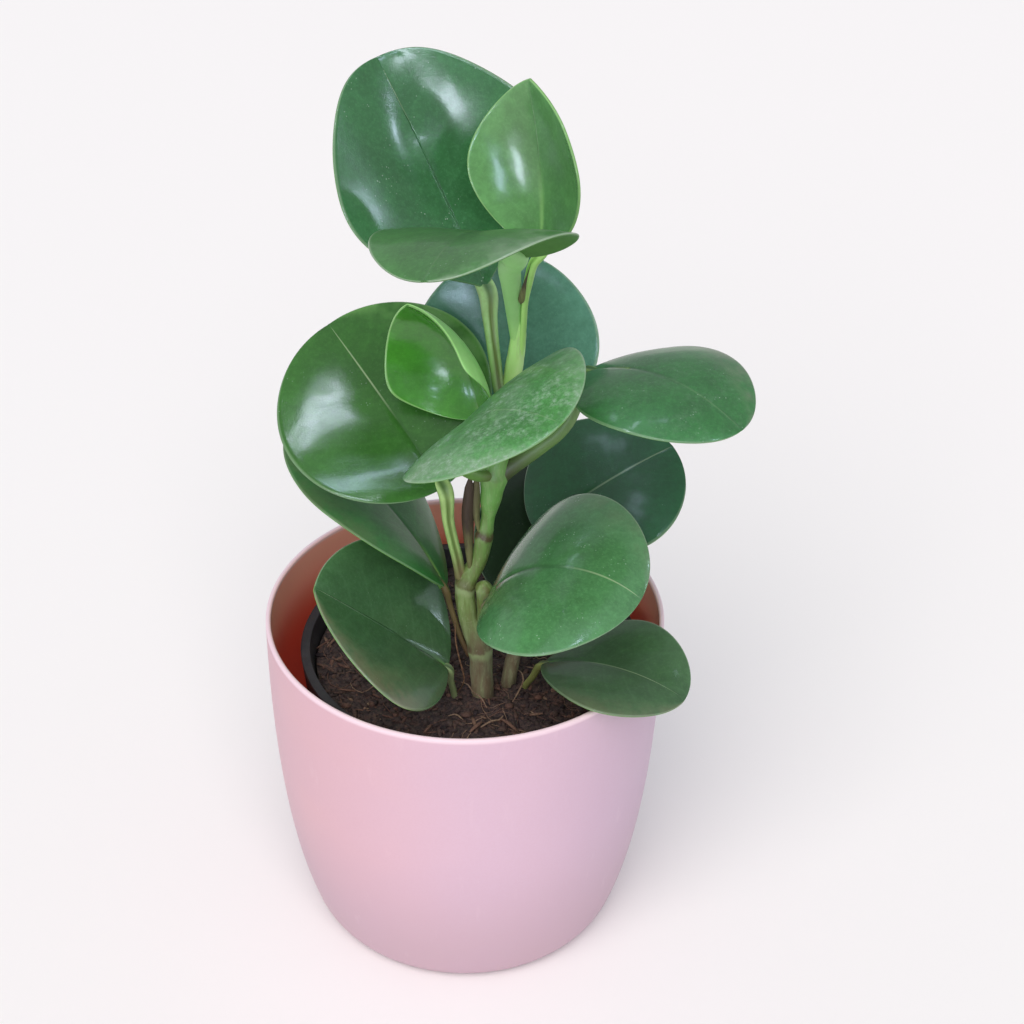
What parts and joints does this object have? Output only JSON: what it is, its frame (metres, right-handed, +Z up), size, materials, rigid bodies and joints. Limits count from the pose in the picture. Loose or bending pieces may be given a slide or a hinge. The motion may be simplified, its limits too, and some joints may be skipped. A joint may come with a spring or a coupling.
{
  "type": "potted peperomia",
  "caption": "Potted peperomia: upright stems with thick round glossy leaves, rooted in soil in a thin dark nursery pot that stands inside a smooth pink cover pot.",
  "frame": {"origin": "middle of the flat base that the cover pot stands on", "axes": "+Z up along the cover pot's axis; -Y is the side that most leaves lean towards; +X is to the right seen from there"},
  "size_m": [0.1607, 0.154, 0.3311],
  "materials": {
    "cover_pot": "smooth satin pink",
    "nursery_pot": "thin dark grey, slightly scuffed",
    "soil": "dark peat with bark bits and fibres",
    "stem": "smooth fleshy stem, green with brown knots",
    "leaf": "glossy dark green, dusty in places",
    "young_leaf": "glossy fresh green with a pale margin"
  },
  "bodies": {
    "root": {"cover_pot": "cover_pot", "nursery_pot": "nursery_pot", "soil": "soil", "stem_main": "stem", "stem_side_shoot": "stem", "leaf_top_back": "leaf", "leaf_top_young": "young_leaf", "leaf_top_front": "leaf", "leaf_middle_back": "leaf", "leaf_middle_left": "leaf", "leaf_middle_young": "young_leaf", "leaf_middle_front": "leaf", "leaf_middle_right": "leaf", "leaf_low_right_back": "leaf", "leaf_low_back": "leaf", "leaf_low_right_front": "leaf", "leaf_low_left": "leaf", "leaf_soil_left": "leaf", "leaf_soil_right": "leaf"}
  },
  "joints": []
}
